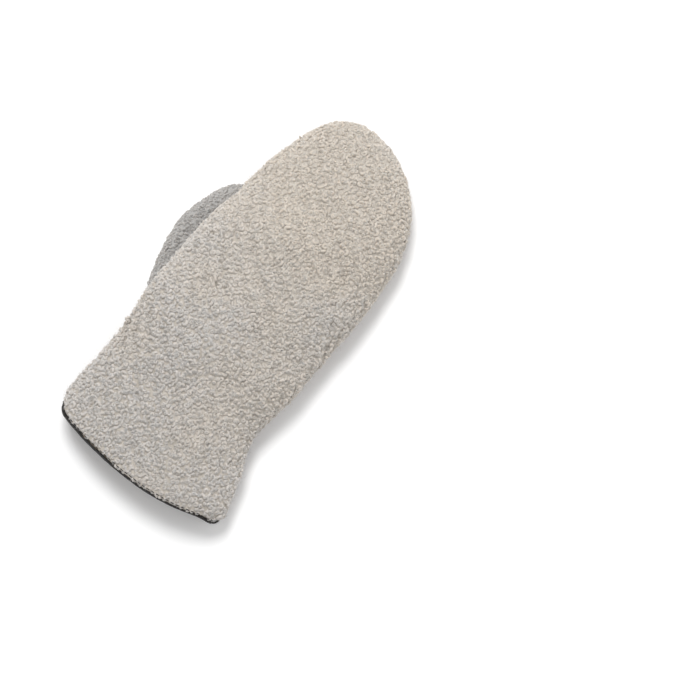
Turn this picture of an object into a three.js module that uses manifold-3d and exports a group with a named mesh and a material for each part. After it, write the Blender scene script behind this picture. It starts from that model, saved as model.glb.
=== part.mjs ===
// A shearling mitten for the right hand, empty, lying palm down with its thumb folded under the palm.
// Millimetres, +Z up. The fingers point along +Y, the thumb side is -X and the fur back is on top.

import * as THREE from 'three';
import { ParametricGeometry } from 'three/addons/geometries/ParametricGeometry.js';
import { mergeVertices } from 'three/addons/utils/BufferGeometryUtils.js';
import Module from 'manifold-3d';

const { clamp, lerp, smoothstep } = THREE.MathUtils;

// Driving dimensions of the body
const MITTEN_LENGTH = 280;
const PALM_WIDTH = 120;
const BODY_THICKNESS = 36;
const FUR_WALL = 8;
const LEATHER_WALL = 2;
const FINGER_CAP_LENGTH = 84;
const FINGER_DOME_LENGTH = 56;
const TIP_DRIFT = 9.5;
const HEM_BOW = 10;
const HEM_BOW_REACH = 80;

// Driving dimensions of the thumb
const THUMB_LENGTH = 165;
const THUMB_START = 38;
const THUMB_WIDTH = 46;
const THUMB_THICKNESS = 20;
const THUMB_FUR_WALL = 5.5;
const THUMB_FUR_WRAP = 18;
const THUMB_EDGE_FUR = 2.5;
const THUMB_CAP_LENGTH = 24;

// Trims, seams and fleece
const BINDING_WIDTH = 2.4;
const BINDING_DEPTH = 5;
const LOOP_CORD_DIAMETER = 1.2;
const SEAM_GAP = 0.3;
const RIM_WIDTH = 7;
const LOCK_HEIGHT = 1.2;
const GATHER_DEPTH = 1.3;
const FOLD_DEPTH = 4;

// How round the sections are: 2 is an ellipse, more is squarer
const BACK_SQUARENESS = 2.3;
const PALM_SQUARENESS = 2.6;
const CAP_SQUARENESS = 2.1;
const PANEL_SQUARENESS = 60;
const THUMB_SQUARENESS = 2.2;
const BINDING_SQUARENESS = 4;

// How much closer together the sections lie at the tip than on average
const SECTION_BUNCHING = 1.35;

// How finely the surfaces are faceted: facets round a section and sections along it
const GATHERS_ROUND = 22;
const BODY_FACETS = { around: 46, along: 48 };
const PALM_FACETS = { around: 2 * GATHERS_ROUND, along: 38 };
const ROOM_FACETS = { around: 26, along: 20 };
const PALM_ROOM_FACETS = { around: 2 * GATHERS_ROUND, along: 24 };
const PANEL_FACETS = { around: 8, along: 32 };
const THUMB_FACETS = { around: 26, along: 24 };
const THUMB_ROOM_FACETS = { around: 16, along: 12 };
const BINDING_FACETS = { around: 44, across: 8 };
const LOOP_FACETS = { around: 4, along: 18 };

/** Turns rows with an `along` column into a smooth function that gives the other columns at any place. */
function smoothTable(rows) {
  const names = Object.keys(rows[0]).filter((name) => name !== 'along');
  const places = rows.map((row) => row.along);
  const values = rows.flatMap((row) => names.map((name) => row[name]));
  const curve = new THREE.CubicInterpolant(places, values, names.length);
  return (along) => {
    const found = curve.evaluate(clamp(along, places[0], places[places.length - 1]));
    return Object.fromEntries(names.map((name, index) => [name, found[index]]));
  };
}

// Plan outline of the body. Along is a share of MITTEN_LENGTH, the sides are shares of PALM_WIDTH.
const outlineShares = smoothTable([
  { along: 0.00, thumbSide: 0.555, littleSide: 0.505 },
  { along: 0.03, thumbSide: 0.572, littleSide: 0.543 },
  { along: 0.08, thumbSide: 0.570, littleSide: 0.512 },
  { along: 0.14, thumbSide: 0.558, littleSide: 0.483 },
  { along: 0.19, thumbSide: 0.553, littleSide: 0.448 },
  { along: 0.25, thumbSide: 0.554, littleSide: 0.412 },
  { along: 0.32, thumbSide: 0.552, littleSide: 0.420 },
  { along: 0.41, thumbSide: 0.546, littleSide: 0.446 },
  { along: 0.50, thumbSide: 0.533, littleSide: 0.470 },
  { along: 0.60, thumbSide: 0.510, littleSide: 0.480 },
  { along: 0.70, thumbSide: 0.478, littleSide: 0.476 },
]);

// Heights of the body. Along is a share of MITTEN_LENGTH, the heights are shares of BODY_THICKNESS.
const heightShares = smoothTable([
  { along: 0.00, under: -0.04, rim: 0.38, crown: 0.84 },
  { along: 0.12, under: -0.03, rim: 0.40, crown: 0.92 },
  { along: 0.24, under: 0.02, rim: 0.42, crown: 0.91 },
  { along: 0.40, under: 0.05, rim: 0.46, crown: 1.00 },
  { along: 0.60, under: 0.05, rim: 0.46, crown: 1.00 },
  { along: 0.76, under: -0.02, rim: 0.42, crown: 0.98 },
  { along: 0.88, under: -0.05, rim: 0.40, crown: 0.90 },
  { along: 1.00, under: -0.05, rim: 0.40, crown: 0.86 },
]);

// How far the folded thumb lifts the thumb side, as a share of THUMB_THICKNESS
const liftShares = smoothTable([
  { along: 0.00, lift: 0.00 },
  { along: 0.12, lift: 0.16 },
  { along: 0.24, lift: 0.56 },
  { along: 0.36, lift: 0.86 },
  { along: 0.50, lift: 0.89 },
  { along: 0.63, lift: 0.87 },
  { along: 0.73, lift: 0.56 },
  { along: 0.86, lift: 0.12 },
  { along: 1.00, lift: 0.00 },
]);

// Plan and level of the thumb. Along is a share of THUMB_LENGTH, across a share of PALM_WIDTH, half a share
// of THUMB_WIDTH, and level a share of THUMB_THICKNESS, as is leather, the reach of the leather on the palm
// side below the thumb's middle.
const thumbShares = smoothTable([
  { along: 0.00, across: -0.190, half: 0.36, level: 1.00, leather: 0.36 },
  { along: 0.20, across: -0.240, half: 0.47, level: 0.85, leather: 0.36 },
  { along: 0.40, across: -0.330, half: 0.50, level: 0.60, leather: 0.24 },
  { along: 0.60, across: -0.410, half: 0.49, level: 0.47, leather: 0.02 },
  { along: 0.75, across: -0.455, half: 0.45, level: 0.45, leather: 0.00 },
  { along: 0.87, across: -0.435, half: 0.43, level: 0.45, leather: 0.00 },
  { along: 1.00, across: -0.430, half: 0.41, level: 0.45, leather: 0.00 },
]);

// Soft folds. Places along are shares of MITTEN_LENGTH, places across shares of PALM_WIDTH, widths shares
// of PALM_WIDTH and depths shares of FOLD_DEPTH. A positive depth is pressed into the mitten.
const BACK_FOLDS = [
  { fromAcross: -0.36, fromAlong: 0.64, toAcross: -0.20, toAlong: 0.40, width: 0.11, depth: 0.70 },
  { fromAcross: 0.46, fromAlong: 0.25, toAcross: 0.12, toAlong: 0.30, width: 0.13, depth: 0.55 },
  { fromAcross: 0.10, fromAlong: 0.42, toAcross: 0.16, toAlong: 0.60, width: 0.16, depth: 0.40 },
  { fromAcross: -0.20, fromAlong: 0.20, toAcross: 0.00, toAlong: 0.08, width: 0.14, depth: 0.35 },
];
const PALM_FOLDS = [
  { fromAcross: -0.10, fromAlong: 0.21, toAcross: 0.36, toAlong: 0.21, width: 0.10, depth: 0.90 },
  { fromAcross: -0.02, fromAlong: 0.24, toAcross: 0.12, toAlong: 0.52, width: 0.07, depth: 0.55 },
  { fromAcross: 0.12, fromAlong: 0.24, toAcross: 0.28, toAlong: 0.46, width: 0.06, depth: 0.45 },
  { fromAcross: 0.26, fromAlong: 0.24, toAcross: 0.36, toAlong: 0.38, width: 0.06, depth: 0.40 },
  { fromAcross: -0.30, fromAlong: 0.78, toAcross: 0.10, toAlong: 0.60, width: 0.12, depth: 0.60 },
];

// Route of the hanging loop's cord, from the hem's middle: across, along and up
const LOOP_ROUTE = [
  [55.6, 9.0, 4.2],
  [55.9, 9.0, 2.6],
  [56.9, 9.0, 1.3],
  [58.5, 9.1, 0.8],
  [60.3, 9.9, 0.7],
  [61.5, 11.7, 0.7],
  [62.0, 14.2, 0.7],
  [62.0, 17.0, 0.7],
  [61.5, 19.6, 0.7],
  [60.2, 21.4, 0.7],
  [58.4, 21.6, 0.7],
  [57.0, 20.2, 0.7],
  [56.6, 17.9, 0.7],
  [56.5, 15.4, 0.8],
  [56.2, 13.5, 1.4],
  [55.8, 12.6, 2.7],
  [55.6, 12.5, 4.2],
];

// The wrist gathers: their middle and reach as shares of MITTEN_LENGTH, their ends and fade of PALM_WIDTH
const GATHERS = { along: 0.21, reach: 0.055, fromAcross: -0.14, toAcross: 0.38, fade: 0.06 };

/** Height of a rounded end, 1 at its start and 0 at its tip, at a share of its length. */
function roundedEnd(share) {
  return (1 - clamp(share, 0, 1) ** CAP_SQUARENESS) ** (1 / CAP_SQUARENESS);
}

/** A power that keeps the sign of its value, with rounding errors round zero left out. */
function signedPower(value, power) {
  return Math.abs(value) < 1e-9 ? 0 : Math.sign(value) * Math.abs(value) ** power;
}

/** Point of a superellipse of the given squareness, each coordinate from -1 to 1. */
function sectionPoint(turn, squareness) {
  const angle = turn * 2 * Math.PI;
  const power = 2 / squareness;
  return { across: signedPower(Math.cos(angle), power), up: signedPower(Math.sin(angle), power) };
}

/** Depth at a place of a set of soft folds, each a groove that fades at its ends. */
function foldDepth(folds, across, along) {
  return folds.reduce((depth, fold) => {
    const start = new THREE.Vector2(fold.fromAcross * PALM_WIDTH, fold.fromAlong * MITTEN_LENGTH);
    const run = new THREE.Vector2(fold.toAcross * PALM_WIDTH, fold.toAlong * MITTEN_LENGTH).sub(start);
    const offset = new THREE.Vector2(across, along).sub(start);
    const share = clamp(offset.dot(run) / run.lengthSq(), 0, 1);
    const distance = offset.sub(run.multiplyScalar(share)).length() / (fold.width * PALM_WIDTH);
    return depth + fold.depth * FOLD_DEPTH * Math.exp(-(distance ** 2));
  }, 0);
}

/** Height at a place of the short gathers along the wrist's elastic, in turns round the section. */
function gatherHeight(across, along, turn) {
  const middle = GATHERS.along * MITTEN_LENGTH;
  const fadeAlong = Math.exp(-(((along - middle) / (GATHERS.reach * MITTEN_LENGTH)) ** 2));
  const from = GATHERS.fromAcross * PALM_WIDTH;
  const to = GATHERS.toAcross * PALM_WIDTH;
  const fade = GATHERS.fade * PALM_WIDTH;
  const inFrom = smoothstep(across, from - fade, from);
  const outTo = 1 - smoothstep(across, to, to + fade);
  return GATHER_DEPTH * fadeAlong * inFrom * outTo * Math.cos(2 * Math.PI * GATHERS_ROUND * turn);
}

/** Middle and half width of the body's outline at a distance from the hem, drawn in by the insets. */
function bodyOutline(distance, inset) {
  const shares = outlineShares(distance / MITTEN_LENGTH);
  const capStart = MITTEN_LENGTH - FINGER_CAP_LENGTH;
  const capShare = (distance - capStart) / (FINGER_CAP_LENGTH - inset.tip);
  const drift = TIP_DRIFT * clamp((distance - capStart) / FINGER_CAP_LENGTH, 0, 1) ** 3;
  return {
    middle: (shares.littleSide - shares.thumbSide) * PALM_WIDTH / 2 - drift,
    half: ((shares.littleSide + shares.thumbSide) * PALM_WIDTH / 2 - inset.side) * roundedEnd(capShare),
  };
}

/** Rim level, rise of the back and drop of the palm at a distance from the hem, thinned by the insets. */
function bodyHeights(distance, inset) {
  const shares = heightShares(distance / MITTEN_LENGTH);
  const domeStart = MITTEN_LENGTH - FINGER_DOME_LENGTH;
  const dome = roundedEnd((distance - domeStart) / (FINGER_DOME_LENGTH - inset.tip));
  return {
    rim: shares.rim * BODY_THICKNESS,
    rise: Math.max((shares.crown - shares.rim) * BODY_THICKNESS - inset.top, 0) * dome,
    drop: ((shares.rim - shares.under) * BODY_THICKNESS - inset.bottom) * dome,
    dome,
  };
}

/** How far the thumb underneath lifts a point: the back tilts as one plane and the palm drapes over it. */
function thumbLift(across, distance, up) {
  const shares = outlineShares(distance / MITTEN_LENGTH);
  const left = -shares.thumbSide * PALM_WIDTH;
  const right = shares.littleSide * PALM_WIDTH;
  const tilt = clamp((right - across) / (right - left), 0, 1);
  const drape = smoothstep(-across, -0.05 * PALM_WIDTH, 0.34 * PALM_WIDTH);
  const share = up >= 0 ? tilt : lerp(tilt, drape, -up);
  return liftShares(distance / MITTEN_LENGTH).lift * THUMB_THICKNESS * share;
}

/** How far the curve of the cuff moves a point towards the fingers. */
function hemShift(across, distance) {
  const fade = clamp(1 - distance / HEM_BOW_REACH, 0, 1) ** 2;
  return HEM_BOW * Math.min(fade, 1) * (across / (PALM_WIDTH * 0.567)) ** 2;
}

/** Gives a point of the body's section its place in the lying mitten, no lower than the given level. */
function placeBodyPoint(target, across, distance, height, up, lowest) {
  const level = height + thumbLift(across, distance, up);
  return target.set(across, distance + hemShift(across, distance), Math.max(level, lowest));
}

/** Height of a lock of fleece at a facet's corner, so that the locks stand in staggered rows. */
function lockHeight(column, row) {
  const stagger = Math.round(column + row) % 2 === 0 ? 1 : -1;
  const unevenness = 0.7 + 0.3 * Math.sin(12.9898 * column + 78.233 * row);
  return LOCK_HEIGHT * stagger * unevenness;
}

/** Sets a point on the body's skin: its section's turn, distance from the hem, and how open it is. */
function setBodyPoint(target, { turn, distance, open = 1, inset, squareness, lowest = 0, lock = 0 }) {
  const { across, up } = sectionPoint(turn, turn < 0.5 ? squareness.back : squareness.palm);
  const outline = bodyOutline(distance, inset);
  const heights = bodyHeights(distance, inset);
  const place = outline.middle + across * (outline.half * open + lock);
  const relief = up > 0
    ? -up * foldDepth(BACK_FOLDS, place, distance)
    : -up * (foldDepth(PALM_FOLDS, place, distance) + gatherHeight(place, distance, turn));
  const rise = up > 0 ? heights.rise + lock : heights.drop;
  const height = heights.rim + (up * rise + relief * heights.dome) * open;
  return placeBodyPoint(target, place, distance, height, up, lowest);
}

/** Skin of the body from a start to the fingertip, for one set of insets. */
function bodySkin({ start = 0, inset, squareness, facets, lowest, locks = false }) {
  const firstSection = 1 / facets.along;
  const end = MITTEN_LENGTH - inset.tip;
  return (turn, place, target) => {
    const share = clamp((place - firstSection) / (1 - firstSection), 0, 1);
    const distance = start + (end - start) * share * (SECTION_BUNCHING - (SECTION_BUNCHING - 1) * share ** 2);
    const open = clamp(place / firstSection, 0, 1);
    const onBack = smoothstep(Math.sin(turn * 2 * Math.PI), -0.1, 0.15);
    const inFrom = smoothstep(share, 0, 2 * firstSection) * (1 - smoothstep(share, 1 - 3 * firstSection, 1));
    const column = (turn * facets.around) % facets.around;
    const lock = locks ? lockHeight(column, place * facets.along) * onBack * inFrom : 0;
    setBodyPoint(target, { turn, distance, open, inset, squareness, lowest, lock });
  };
}

/** Skin of the thumb, drawn in by an inset, from its hidden root to its tip. */
function thumbSkin({ inset, squareness, facets, lowest = 0, locks = false }) {
  const firstSection = 1 / facets.along;
  return (turn, place, target) => {
    const share = clamp((place - firstSection) / (1 - firstSection), 0, 1);
    const length = THUMB_LENGTH - 2 * inset.end;
    const travel = inset.end + length * share * (SECTION_BUNCHING - (SECTION_BUNCHING - 1) * share ** 2);
    const along = thumbShares(travel / THUMB_LENGTH);
    const capShare = (travel - (THUMB_LENGTH - THUMB_CAP_LENGTH)) / (THUMB_CAP_LENGTH - inset.end);
    const open = clamp(place / firstSection, 0, 1) * roundedEnd(capShare);
    const { across, up } = sectionPoint(turn, squareness);
    const half = along.half * THUMB_WIDTH - (inset.outer + inset.inner) / 2;
    const middle = along.across * PALM_WIDTH + (inset.outer - inset.inner) / 2;
    const drop = inset.followsPanel ? along.leather * THUMB_THICKNESS : THUMB_THICKNESS / 2;
    const reach = up > 0 ? THUMB_THICKNESS / 2 - inset.top : drop - inset.bottom;
    const level = along.level * THUMB_THICKNESS + up * reach * open;
    const column = (turn * facets.around) % facets.around;
    const inFrom = smoothstep(share, 0, 2 * firstSection) * (1 - smoothstep(share, 1 - 3 * firstSection, 1));
    const lock = locks ? lockHeight(column, place * facets.along) * inFrom : 0;
    const height = level + lock * up;
    target.set(middle + across * (half * open + lock), THUMB_START + travel, Math.max(height, lowest));
  };
}

/**
 * Closed solid from a skin function of two numbers from 0 to 1, the turn round a section and the place
 * along, whose first and last sections are drawn together to points.
 */
function closedSolid(wasm, skin, facets) {
  const facingOut = (turn, place, target) => skin(1 - turn, place, target);
  const geometry = new ParametricGeometry(facingOut, facets.around, facets.along);
  geometry.deleteAttribute('normal');
  geometry.deleteAttribute('uv');
  return toSolid(wasm, geometry);
}

/** Solid of a closed geometry, its shared vertices merged and its folded-up triangles left out. */
function toSolid(wasm, geometry) {
  const merged = mergeVertices(geometry, 1e-4);
  const indices = Array.from(merged.index.array);
  const triangles = [];
  for (let start = 0; start < indices.length; start += 3) {
    const [a, b, c] = indices.slice(start, start + 3);
    if (a !== b && b !== c && c !== a) triangles.push(a, b, c);
  }
  const mesh = new wasm.Mesh({
    numProp: 3,
    vertProperties: new Float32Array(merged.attributes.position.array),
    triVerts: new Uint32Array(triangles),
  });
  mesh.merge();
  return new wasm.Manifold(mesh);
}

/** Geometry of a solid. */
function toGeometry(solid) {
  const mesh = solid.getMesh();
  const geometry = new THREE.BufferGeometry();
  geometry.setAttribute('position', new THREE.BufferAttribute(new Float32Array(mesh.vertProperties), 3));
  geometry.setIndex(new THREE.BufferAttribute(new Uint32Array(mesh.triVerts), 1));
  return geometry;
}

const wasm = await Module();
wasm.setup();

const BODY_ROUNDNESS = { back: BACK_SQUARENESS, palm: PALM_SQUARENESS };
const PANEL_ROUNDNESS = { back: PANEL_SQUARENESS, palm: PANEL_SQUARENESS };
const MOUTH_OVERRUN = 25;
const BELOW_EVERYTHING = 60;

/** Solid of the body's skin for one set of insets. */
function bodySolid(options) {
  return closedSolid(wasm, bodySkin(options), options.facets);
}

/** Solid of the thumb's skin for one set of insets. */
function thumbSolid(options) {
  return closedSolid(wasm, thumbSkin(options), options.facets);
}

/** The body's outer form, grown all over, with or without locks of fleece on its back. */
function bodyForm(growth, facets, locks = false) {
  const inset = { side: -growth, top: -growth, bottom: -growth, tip: -growth };
  return bodySolid({ inset, squareness: BODY_ROUNDNESS, facets, lowest: 0, locks });
}

/** The room inside the body, open past the cuff, for a wall of the given thickness at the sides. */
function bodyRoom(side, facets) {
  const inset = { side, top: FUR_WALL, bottom: LEATHER_WALL, tip: side };
  const start = -MOUTH_OVERRUN;
  return bodySolid({ start, inset, squareness: BODY_ROUNDNESS, facets, lowest: LEATHER_WALL });
}

/** The space of the palm panel: all that lies under the rim line and inside the outline by the inset. */
function panelSpace(edge) {
  const inset = { side: edge, top: BODY_THICKNESS, bottom: -BELOW_EVERYTHING, tip: edge };
  const start = -MOUTH_OVERRUN;
  const lowest = -BELOW_EVERYTHING;
  return bodySolid({ start, inset, squareness: PANEL_ROUNDNESS, facets: PANEL_FACETS, lowest });
}

/** Room inside the thumb, for its fur towards the floor and its leather towards the palm. */
function thumbRoom() {
  const wall = THUMB_FUR_WALL;
  const inset = { end: wall, outer: wall, inner: wall, top: LEATHER_WALL, bottom: wall };
  return thumbSolid({ inset, squareness: THUMB_SQUARENESS, facets: THUMB_ROOM_FACETS });
}

/** The space of the thumb's leather on the palm side, inside the fur that wraps round from the outer side. */
function gussetSpace(gap) {
  const inset = {
    end: THUMB_FUR_WALL + gap,
    outer: THUMB_FUR_WRAP + gap,
    inner: THUMB_EDGE_FUR + gap,
    top: -BELOW_EVERYTHING,
    bottom: gap,
    followsPanel: true,
  };
  return thumbSolid({ inset, squareness: PANEL_SQUARENESS, facets: PANEL_FACETS });
}

/**
 * Skin of the cuff's binding, a flat strip folded round the hem. The turn goes round the mouth and the
 * place round the strip.
 */
function bindingSkin(turn, place, target) {
  const strip = sectionPoint(place, BINDING_SQUARENESS);
  const depth = BINDING_DEPTH / 2;
  const wall = FUR_WALL - depth * (1 + strip.up);
  const inset = { side: wall, top: wall, bottom: depth * (1 - strip.up), tip: 0 };
  const distance = -(strip.across + 1) * BINDING_WIDTH / 2 - SEAM_GAP;
  setBodyPoint(target, { turn, distance, inset, squareness: BODY_ROUNDNESS });
}

/** Hanging loop of thin cord, sewn into the little-finger seam and tucked under the cuff. */
function loopSolid() {
  const route = new THREE.CatmullRomCurve3(LOOP_ROUTE.map((point) => new THREE.Vector3(...point)));
  const section = new THREE.Shape();
  section.absarc(0, 0, LOOP_CORD_DIAMETER / 2, 0, 2 * Math.PI, false);
  const geometry = new THREE.ExtrudeGeometry(section, {
    steps: LOOP_FACETS.along,
    curveSegments: LOOP_FACETS.around,
    extrudePath: route,
    bevelEnabled: false,
  });
  geometry.deleteAttribute('normal');
  geometry.deleteAttribute('uv');
  return toSolid(wasm, geometry);
}

const thumbOuter = thumbSolid({
  inset: { end: 0, outer: 0, inner: 0, top: 0, bottom: 0 },
  squareness: THUMB_SQUARENESS,
  facets: THUMB_FACETS,
  locks: true,
});
const thumbInner = thumbRoom();
const clearOfPalm = bodyForm(SEAM_GAP, PALM_FACETS);
const clearOfFur = bodyForm(SEAM_GAP, BODY_FACETS, true).subtract(panelSpace(RIM_WIDTH));
const thumbWall = thumbOuter.subtract(thumbInner).subtract(clearOfPalm).subtract(clearOfFur);

const PIECES = [
  {
    name: 'fur_back',
    solid: bodyForm(0, BODY_FACETS, true)
      .subtract(bodyRoom(FUR_WALL, ROOM_FACETS))
      .subtract(panelSpace(RIM_WIDTH)),
    finish: { color: 0xbeb9b2, roughness: 1.0 },
  },
  {
    name: 'leather_palm',
    solid: bodyForm(0, PALM_FACETS)
      .subtract(bodyRoom(LEATHER_WALL, PALM_ROOM_FACETS))
      .intersect(panelSpace(RIM_WIDTH + SEAM_GAP))
      .subtract(thumbInner),
    finish: { color: 0x5f4838, roughness: 0.55 },
  },
  {
    name: 'thumb_fur',
    solid: thumbWall.subtract(gussetSpace(0)),
    finish: { color: 0xc4bfb8, roughness: 1.0 },
  },
  {
    name: 'thumb_gusset',
    solid: thumbWall.intersect(gussetSpace(SEAM_GAP)),
    finish: { color: 0x59432f, roughness: 0.55 },
  },
  {
    name: 'cuff_binding',
    solid: closedSolid(wasm, bindingSkin, { around: BINDING_FACETS.around, along: BINDING_FACETS.across }),
    finish: { color: 0x3c3a37, roughness: 0.7 },
  },
  {
    name: 'hang_loop',
    solid: loopSolid(),
    finish: { color: 0x2b2a29, roughness: 0.8 },
  },
];

const mitten = new THREE.Group();
for (const { name, solid, finish } of PIECES) {
  const mesh = new THREE.Mesh(toGeometry(solid), new THREE.MeshStandardMaterial({ ...finish, metalness: 0 }));
  mesh.name = name;
  mitten.add(mesh);
}

// The origin lies on the surface below the middle of the mitten's box
const box = new THREE.Box3().setFromObject(mitten);
const middle = box.getCenter(new THREE.Vector3());
mitten.position.set(-middle.x, -middle.y, -box.min.z);

export default mitten;
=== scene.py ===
"""The looks of a right-hand shearling mitten that lies palm down with its thumb folded under it.

Curly wool on the hide's outer side, a soft nappa palm gathered at the wrist, a charcoal strip sewn round the
cuff and a small cord loop at the little-finger seam. Everything is in metres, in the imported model's frame.
"""

import logging
import math
from dataclasses import dataclass, field
from enum import Enum

import bpy
import numpy as np
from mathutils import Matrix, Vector
from mathutils.bvhtree import BVHTree


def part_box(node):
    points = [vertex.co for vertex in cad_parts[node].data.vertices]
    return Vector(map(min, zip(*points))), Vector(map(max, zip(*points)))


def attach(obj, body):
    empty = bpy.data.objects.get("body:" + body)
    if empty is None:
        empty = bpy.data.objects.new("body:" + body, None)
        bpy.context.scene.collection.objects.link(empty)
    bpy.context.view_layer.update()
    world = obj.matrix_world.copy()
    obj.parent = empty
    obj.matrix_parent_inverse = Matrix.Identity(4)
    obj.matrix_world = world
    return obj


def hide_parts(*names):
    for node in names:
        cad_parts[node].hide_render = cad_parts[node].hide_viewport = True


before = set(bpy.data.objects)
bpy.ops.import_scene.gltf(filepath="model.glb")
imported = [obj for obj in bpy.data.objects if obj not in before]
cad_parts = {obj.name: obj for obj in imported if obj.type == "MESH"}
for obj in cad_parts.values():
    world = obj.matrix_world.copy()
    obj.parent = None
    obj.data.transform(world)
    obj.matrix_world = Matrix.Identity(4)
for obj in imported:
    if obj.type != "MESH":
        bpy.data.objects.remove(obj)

LOG = logging.getLogger("mitten")
MM = 0.001

# Small helpers shared by all the pieces


def linear(hex_colour: str) -> tuple[float, float, float, float]:
    """Turns an sRGB colour into the linear one that a shader takes.

    Args:
        hex_colour: six hex digits, such as "c9c3ba".

    Returns:
        Red, green, blue and an alpha of 1.
    """
    channels = [int(hex_colour[place:place + 2], 16) / 255 for place in (0, 2, 4)]
    lit = [c / 12.92 if c <= 0.04045 else ((c + 0.055) / 1.055) ** 2.4 for c in channels]
    return (*lit, 1.0)


def add_node(tree: bpy.types.NodeTree, kind: str, links: dict | None = None,
             **settings: object) -> bpy.types.Node:
    """Adds one shader node, sets it and wires it.

    Args:
        tree: the material's node tree.
        kind: the node's type, such as "ShaderNodeBump".
        links: input socket (name or index) to the output socket or constant that feeds it.
        settings: properties of the node itself.

    Returns:
        The new node.
    """
    node = tree.nodes.new(kind)
    for name, value in settings.items():
        setattr(node, name, value)
    for socket, source in (links or {}).items():
        if isinstance(source, bpy.types.NodeSocket):
            tree.links.new(source, node.inputs[socket])
        else:
            node.inputs[socket].default_value = source
    return node


def new_material(name: str) -> tuple[bpy.types.Material, bpy.types.NodeTree, bpy.types.Node]:
    """Starts a node material.

    Args:
        name: the finish's plain name.

    Returns:
        The material, its node tree and its Principled shader.
    """
    material = bpy.data.materials.new(name)
    material.use_nodes = True
    tree = material.node_tree
    return material, tree, tree.nodes["Principled BSDF"]


def colour_ramp(tree: bpy.types.NodeTree, factor: bpy.types.NodeSocket,
                stops: dict[float, str]) -> bpy.types.NodeSocket:
    """Adds a colour ramp.

    Args:
        tree: the material's node tree.
        factor: the output socket that drives the ramp.
        stops: places along the ramp to sRGB colours of six hex digits.

    Returns:
        The ramp's colour output.
    """
    ramp = add_node(tree, "ShaderNodeValToRGB", {"Fac": factor})
    elements = ramp.color_ramp.elements
    while len(elements) < len(stops):
        elements.new(0.5)
    for element, (place, colour) in zip(elements, sorted(stops.items())):
        element.position = place
        element.color = linear(colour)
    return ramp.outputs["Color"]


def deselect_all() -> None:
    """Leaves nothing selected, because an operator acts on all that is."""
    if bpy.context.object and bpy.context.object.mode != "OBJECT":
        bpy.ops.object.mode_set(mode="OBJECT")
    bpy.ops.object.select_all(action="DESELECT")


def make_active(obj: bpy.types.Object) -> None:
    """Selects one object alone and makes it the active one.

    Args:
        obj: the object.
    """
    deselect_all()
    obj.select_set(True)
    bpy.context.view_layer.objects.active = obj


def apply_modifier(obj: bpy.types.Object, kind: str, **settings: object) -> None:
    """Adds a modifier to an object, sets it and applies it.

    Args:
        obj: the object to shape.
        kind: the modifier's type, such as "REMESH".
        settings: the modifier's properties.
    """
    make_active(obj)
    modifier = obj.modifiers.new(kind.lower(), kind)
    for name, value in settings.items():
        setattr(modifier, name, value)
    bpy.ops.object.modifier_apply(modifier=modifier.name)


def copy_of_node(node: str, name: str) -> bpy.types.Object:
    """Makes a new object from a CAD node's mesh, with its loose triangles merged.

    Args:
        node: the CAD node.
        name: the new piece's name.

    Returns:
        The new object, at the origin, with no material.
    """
    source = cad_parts[node]
    piece = bpy.data.objects.new(name, source.data.copy())
    piece.data.materials.clear()
    bpy.context.scene.collection.objects.link(piece)
    make_active(piece)
    bpy.ops.object.mode_set(mode="EDIT")
    bpy.ops.mesh.select_all(action="SELECT")
    bpy.ops.mesh.remove_doubles(threshold=0.01 * MM)
    bpy.ops.object.mode_set(mode="OBJECT")
    return piece


def points_of(obj: bpy.types.Object) -> np.ndarray:
    """Reads an object's vertices.

    Args:
        obj: a mesh object.

    Returns:
        Their places in rows.
    """
    rows = np.empty(len(obj.data.vertices) * 3)
    obj.data.vertices.foreach_get("co", rows)
    return rows.reshape(-1, 3)


def set_points(obj: bpy.types.Object, rows: np.ndarray) -> None:
    """Writes an array of rows back as the object's vertices."""
    obj.data.vertices.foreach_set("co", rows.astype(np.float32).ravel())
    obj.data.update()


def normals_of(obj: bpy.types.Object) -> np.ndarray:
    """Reads an object's vertex normals.

    Args:
        obj: a mesh object.

    Returns:
        Unit directions in rows.
    """
    rows = np.empty(len(obj.data.vertices) * 3, dtype=np.float32)
    obj.data.vertex_normals.foreach_get("vector", rows)
    return rows.reshape(-1, 3).astype(float)


def tree_of(*objects: bpy.types.Object) -> BVHTree:
    """Makes one search tree over the faces of several meshes.

    Args:
        objects: mesh objects at the origin.

    Returns:
        The tree, for rays and nearest points.
    """
    points: list[Vector] = []
    faces: list[list[int]] = []
    for obj in objects:
        start = len(points)
        points.extend(vertex.co for vertex in obj.data.vertices)
        faces.extend([start + corner for corner in face.vertices] for face in obj.data.polygons)
    return BVHTree.FromPolygons(points, faces)


def smooth_noise(points: np.ndarray, wavelength: float, seed: int) -> np.ndarray:
    """Gives soft seeded relief from about -1 to 1, a sum of slanted waves, for every point of an array.

    Args:
        points: rows of places in metres.
        wavelength: the distance between crests in metres.
        seed: chooses the waves.

    Returns:
        One value for each row.
    """
    rng = np.random.default_rng(seed)
    total = np.zeros(len(points))
    waves = 7
    for _ in range(waves):
        direction = rng.normal(size=3)
        direction /= np.linalg.norm(direction)
        stretch = rng.uniform(0.7, 1.5)
        phase = rng.uniform(0, 2 * math.pi)
        total += np.sin(points @ direction * (2 * math.pi * stretch / wavelength) + phase)
    return total / math.sqrt(waves * 2)


def press_down(rows: np.ndarray, lowest: float, soft: float = 3 * MM) -> None:
    """Flattens the low points of an array against the surface and keeps their relief.

    Args:
        rows: places in metres, changed in place.
        lowest: where the lowest point comes to lie.
        soft: the height below which points are pressed.
    """
    share = (soft - lowest) / (soft - min(rows[:, 2].min(), lowest))
    low = rows[:, 2] < soft
    rows[low, 2] = soft - (soft - rows[low, 2]) * share


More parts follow.
